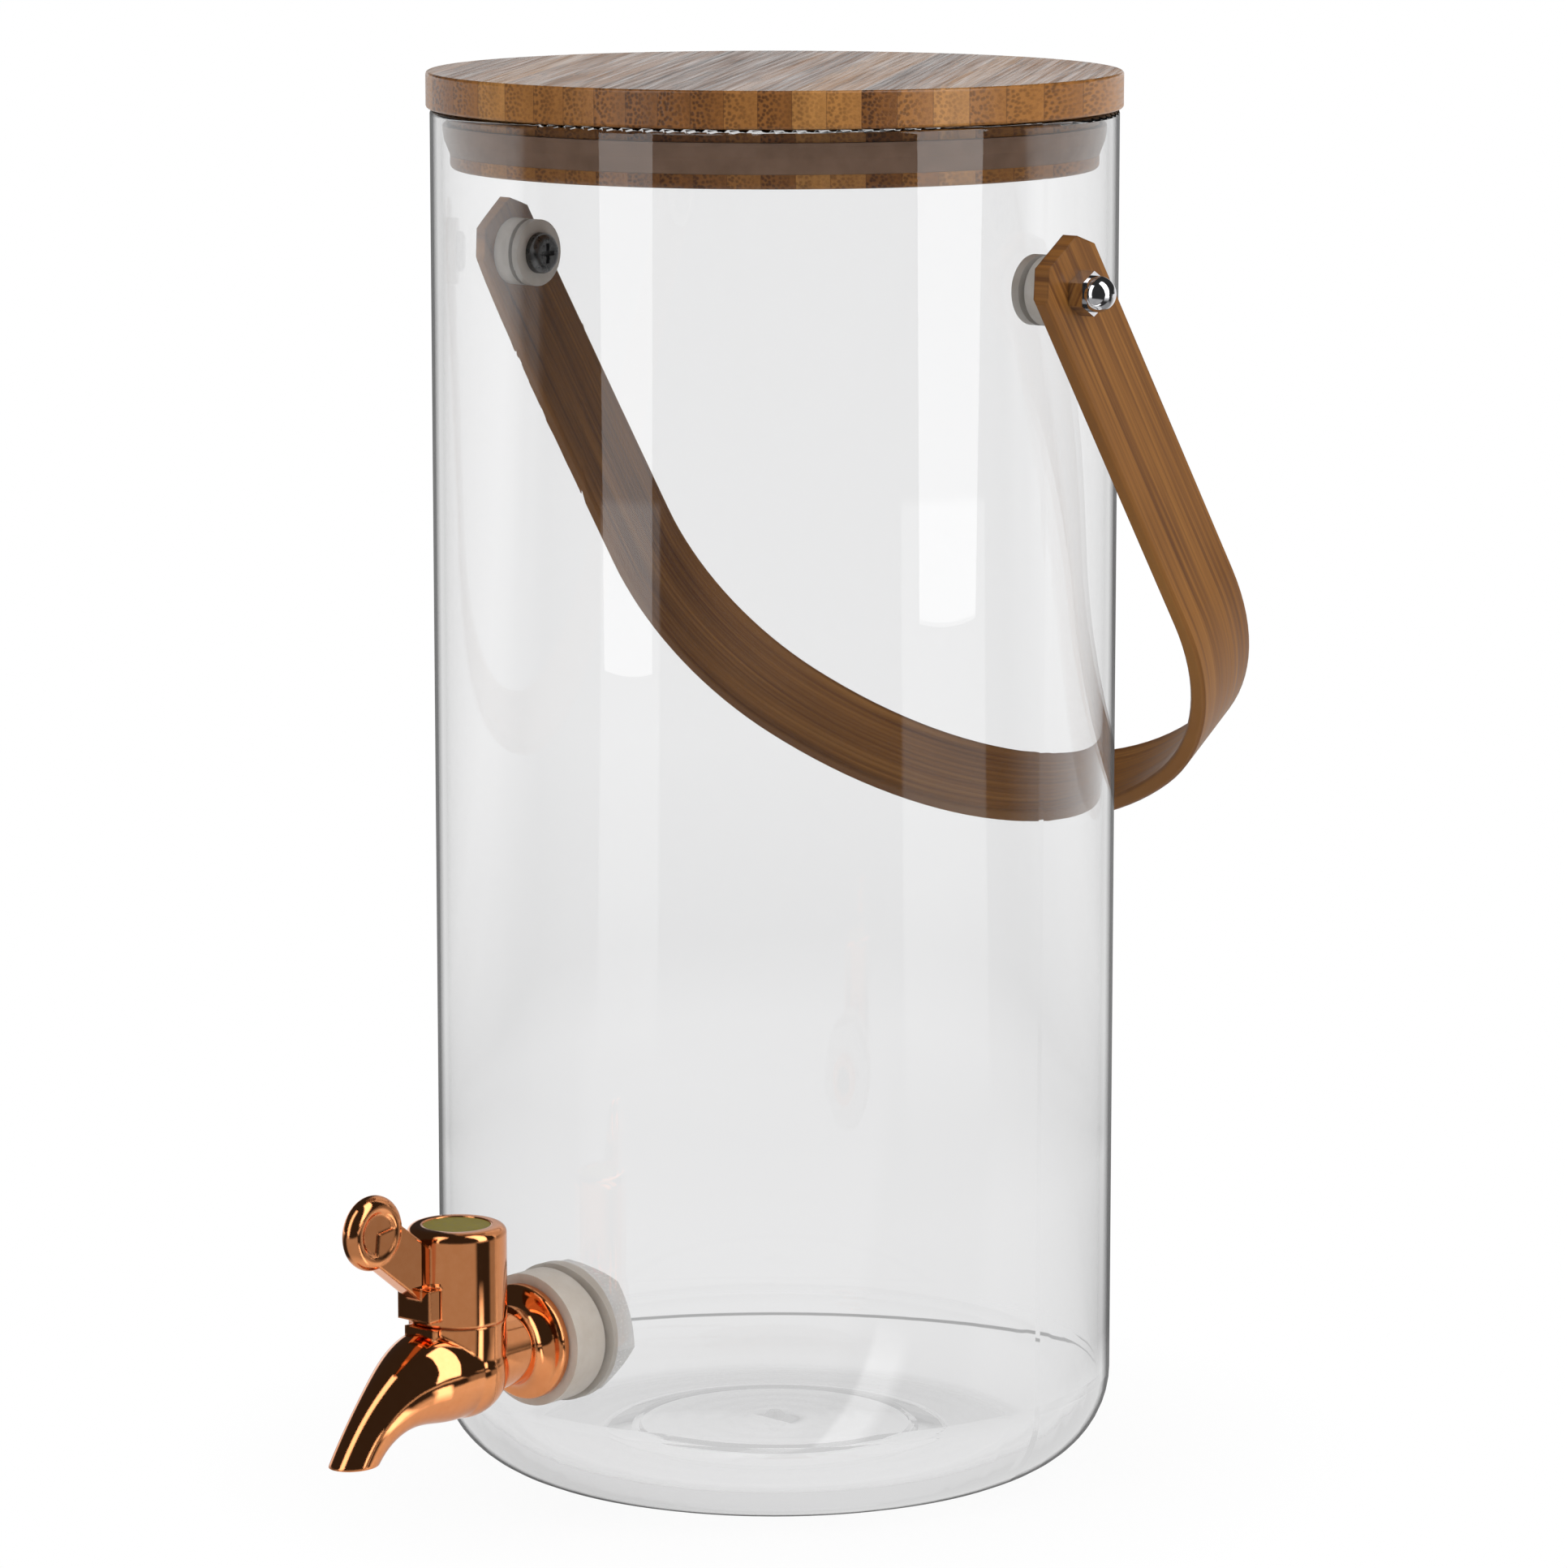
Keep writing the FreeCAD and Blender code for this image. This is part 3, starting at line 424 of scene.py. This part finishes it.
# Camera at the photograph's viewing angle
CAMERA_TURN = math.radians(40.0)
CAMERA_DOWN = math.radians(9.58)
CAMERA_DISTANCE = 1.700
CAMERA_HEIGHT = 0.4681
CAMERA_SENSOR = 36.0
CAMERA_LENS = 149.09
CAMERA_REACH = 50.0
AIM_RIGHT = 0.00134
camera = bpy.data.objects.new("camera", bpy.data.cameras.new("camera"))
scene.collection.objects.link(camera)
camera.location = (
    CAMERA_DISTANCE * math.sin(CAMERA_TURN),
    -CAMERA_DISTANCE * math.cos(CAMERA_TURN),
    CAMERA_HEIGHT,
)
camera_heading = CAMERA_TURN - AIM_RIGHT
look = Vector((
    -math.sin(camera_heading) * math.cos(CAMERA_DOWN),
    math.cos(camera_heading) * math.cos(CAMERA_DOWN),
    -math.sin(CAMERA_DOWN),
))
camera.rotation_mode = "QUATERNION"
camera.rotation_quaternion = look.to_track_quat("-Z", "Y")
camera.data.sensor_width = CAMERA_SENSOR
camera.data.lens = CAMERA_LENS
camera.data.clip_end = CAMERA_REACH
scene.camera = camera


# The studio: white backdrop for what is seen, dim room with soft panels for what is mirrored
BACKDROP = Vector((-math.sin(CAMERA_TURN), math.cos(CAMERA_TURN), 0.0))
ROOM = 0.035
TRAPPED = 0.7
EDGE = 0.55
SKY_LIGHT = 0.55
LEFT_TURN = -48.0
RIGHT_TURN = 57.0


def rays(made):
    """Shares of a ray: from the camera, straight through glass, mirrored off a surface,
    and bounced once or more often inside glass."""
    path = made.node("LightPath").outputs
    through = path["Is Transmission Ray"]
    bounced = made.above(path["Glossy Depth"], ONE_BOUNCE)
    often = made.above(path["Glossy Depth"], TWO_BOUNCES)
    straight = made.multiply(through, made.rest(bounced))
    mirrored = made.multiply(path["Is Glossy Ray"], made.rest(through))
    once = made.multiply(through, made.subtract(bounced, often))
    trapped = made.multiply(through, often, TRAPPED)
    return path["Is Camera Ray"], straight, mirrored, once, trapped


def behind(made, direction, low, high):
    """One towards the backdrop, nothing towards the room."""
    dot = made.node("VectorMath", {0: direction}, {1: BACKDROP}, operation="DOT_PRODUCT")
    return made.range(dot.outputs["Value"], low, high)


class World(Finish):
    """The world's nodes, built the same way as a finish."""

    def __init__(self):
        world = bpy.data.worlds.new("studio")
        world.use_nodes = True
        scene.world = world
        self.tree = world.node_tree


def surroundings():
    made = World()
    seen, straight, mirrored, once, trapped = rays(made)
    direction = made.node("TexCoord").outputs["Generated"]
    rise = made.split(direction)["Z"]
    low = made.range(rise, 0.18, 0.10)
    lit = made.multiply(behind(made, direction, 0.45, 0.75), low)
    room = made.range(lit, 0.0, 1.0, ROOM, 1.0)
    upward = made.larger(
        made.range(rise, 0.05, 0.25, ROOM, TRAPPED),
        made.multiply(behind(made, direction, 0.3, 0.6), EDGE),
    )
    bounces = made.add(made.multiply(mirrored, room), made.multiply(once, upward))
    scattered = made.multiply(made.node("LightPath").outputs["Is Diffuse Ray"], SKY_LIGHT)
    strength = made.add(seen, straight, trapped, bounces, scattered)
    sky = made.tree.nodes["Background"]
    sky.inputs["Color"].default_value = WHITE
    made.tree.links.new(strength, sky.inputs["Strength"])


# The floor: each pair of radii runs from where a light starts to fade in to where it is full
FLOOR_RADIUS = 9.0
FLOOR_SIDES = 128
FLOOR_DROP = 0.0002
FLOOR_DARK = (0.9, 0.9, 0.9)
FLOOR_LIGHT = (0.93, 0.93, 0.93)
PAPER_GREY = 0.885
PAPER_WHITE_RADIUS = (0.136, 1.2)
LINE_RADIUS = 0.134
LINE_HALF = (0.0022, 0.0012)
LINE_TONE = 0.45
TAP_AXIS = 0.1255
TAP_NEAR = (0.75, 0.5)
WEDGE_TURNS = (-72, -64, 44, 50)
WEDGE_LIGHT = 0.42
STRIP_TURNS = (53, 55, 62, 66)
STRIP_NEAR = (0.30, 0.24)
STRIP_LIGHT = 2.6
ASIDE_TURNS = (80, 86, 120, 128)
ASIDE_LIGHT = 0.30
JAR_NEAR = (0.20, 0.15)
JAR_LIGHT = 0.85
BEAMS = ((LEFT_TURN, 10.5), (RIGHT_TURN, 15.5))
BEAM_SOFT = 0.5
BEAM_START = (0.46, 1.0)
BEAM_END = (2.25, 2.2)
BEAM_LIGHT = 1.1
BELOW_NEAR = (0.55, 0.40)
CONTACT_RADIUS = (0.09, 0.16)
CONTACT_LIGHT = 0.92
TAP_CONTACT = (0.05, 0.10)


def sector(made, turn, start, full, fade, end):
    """One between two turns in degrees, soft at both sides."""
    rise = made.range(turn, math.radians(start), math.radians(full))
    fall = made.range(turn, math.radians(end), math.radians(fade))
    return made.multiply(rise, fall)


def paper(made, radius):
    """The table as seen through the glass: slightly grey, its edge a thin line round the jar."""
    line = made.range(made.apart(radius, LINE_RADIUS), *LINE_HALF)
    grey = made.range(radius, *PAPER_WHITE_RADIUS, PAPER_GREY, 1.0)
    return made.multiply(grey, made.range(line, 0.0, 1.0, 1.0, LINE_TONE))


def round_tap(made, x, ahead, away):
    """What the tap mirrors: a lit wedge of floor towards the camera, a bright strip beside it,
    a faint patch further round, and dark elsewhere."""
    turn = made.subtract(made.math("ARCTAN2", x, ahead), CAMERA_TURN)
    wedge = made.multiply(sector(made, turn, *WEDGE_TURNS), WEDGE_LIGHT)
    strip = made.multiply(
        sector(made, turn, *STRIP_TURNS),
        made.range(away, *STRIP_NEAR, 0.0, STRIP_LIGHT),
    )
    aside = made.multiply(sector(made, turn, *ASIDE_TURNS), ASIDE_LIGHT)
    return made.multiply(made.add(wedge, strip, aside, ROOM), made.range(away, *TAP_NEAR))


def beams(made, x, y, radius):
    """The soft panels carried on as bright strips on the floor, mirrored low in the glass."""
    about = made.math("ARCTAN2", x, made.multiply(y, -1.0))
    about = made.subtract(about, CAMERA_TURN)
    for middle, half in BEAMS:
        off = made.apart(about, math.radians(middle))
        yield made.multiply(
            made.range(off, math.radians(half + BEAM_SOFT), math.radians(half - BEAM_SOFT)),
            made.range(radius, *BEAM_START),
            made.range(radius, *BEAM_END),
            BEAM_LIGHT,
        )


def floor():
    bpy.ops.mesh.primitive_circle_add(
        vertices=FLOOR_SIDES, radius=FLOOR_RADIUS, fill_type="NGON", location=(0, 0, -FLOOR_DROP),
    )
    piece = bpy.context.object
    piece.name = "floor"
    made = Finish("floor", Roughness=0.9, Specular_IOR_Level=0.0)
    where = made.place()
    x, y, _ = made.split(where)
    radius = made.distance(x, y)
    ahead = made.multiply(made.add(y, TAP_AXIS), -1.0)
    away = made.distance(x, ahead)
    cloud = made.noise(where, 9.0, 2.0)
    made.to_shader("Base Color", made.between(cloud, FLOOR_DARK, FLOOR_LIGHT))
    seen, straight, mirrored, once, trapped = rays(made)
    # The brightest of what a mirror shows at each spot
    room = made.range(behind(made, where, 0.0, 0.5), 0.0, 1.0, ROOM, 1.0)
    room = made.larger(room, round_tap(made, x, ahead, away))
    room = made.larger(room, made.range(radius, *JAR_NEAR, 0.0, JAR_LIGHT))
    for beam in beams(made, x, y, radius):
        room = made.larger(room, beam)
    below = made.larger(
        made.range(radius, *BELOW_NEAR, ROOM, TRAPPED),
        made.multiply(behind(made, where, 0.10, 0.35), EDGE),
    )
    bounces = made.add(made.multiply(mirrored, room), made.multiply(once, below))
    through = made.multiply(straight, paper(made, radius))
    glow = made.add(seen, through, trapped, bounces)
    light = made.node("Emission", {"Strength": glow}).outputs["Emission"]
    # Close to the jar and the tap the floor takes real light too, for the contact shadow
    direct = made.range(radius, *CONTACT_RADIUS, CONTACT_LIGHT, 1.0)
    direct = made.multiply(made.add(seen, straight), direct)
    reflected = made.multiply(mirrored, made.range(away, *TAP_CONTACT))
    inner = made.add(once, made.above(trapped, 0.01))
    amount = made.math("ADD", made.add(direct, reflected), inner, clamp=True)
    made.to_surface(made.blend(amount, made.shader.outputs["BSDF"], light))
    piece.data.materials.append(made.material)


surroundings()
floor()


# Soft panels: tall ones at both sides that the glass and the tap mirror, and plain lights
PANEL_AIM = Vector((0, 0, 0.2))
PANEL_HEIGHT = 0.62
PANEL_TALL = 1.24
LEFT_WIDE = 0.33
RIGHT_WIDE = 0.35


def softbox(name, turn, height, distance, wide, high, strength, mirrored=True, lights=True):
    """A soft panel round the object, at a turn from the camera's side, facing the object."""
    light = bpy.data.lights.new(name, "AREA")
    light.shape = "RECTANGLE"
    light.size = wide
    light.size_y = high
    light.energy = strength * math.pi * wide * high
    made = bpy.data.objects.new(name, light)
    scene.collection.objects.link(made)
    heading = CAMERA_TURN + math.radians(turn)
    made.location = (distance * math.sin(heading), -distance * math.cos(heading), height)
    made.rotation_mode = "QUATERNION"
    made.rotation_quaternion = (PANEL_AIM - made.location).to_track_quat("-Z", "Y")
    made.visible_camera = False
    made.visible_glossy = mirrored
    made.visible_diffuse = lights
    made.visible_transmission = False


def side_panel(name, turn, distance, wide, strength, lights=True):
    softbox(name, turn, PANEL_HEIGHT, distance, wide, PANEL_TALL, strength, lights=lights)


side_panel("strip_left", LEFT_TURN, 0.85, LEFT_WIDE, 1.0)
side_panel("shine_left", LEFT_TURN, 0.84, LEFT_WIDE, 1.2, lights=False)
side_panel("strip_right", RIGHT_TURN, 0.62, RIGHT_WIDE, 1.4)
side_panel("shine_right", RIGHT_TURN, 0.61, RIGHT_WIDE, 1.4, lights=False)
softbox("key", 70, 1.6, 1.6, 1.2, 1.2, 0.95, mirrored=False)
softbox("fill", 72, 0.30, 1.3, 0.9, 0.6, 0.3, mirrored=False)
softbox("top", -20, 2.0, 0.6, 1.4, 1.4, 0.8, mirrored=False)

scene.view_settings.view_transform = "Standard"
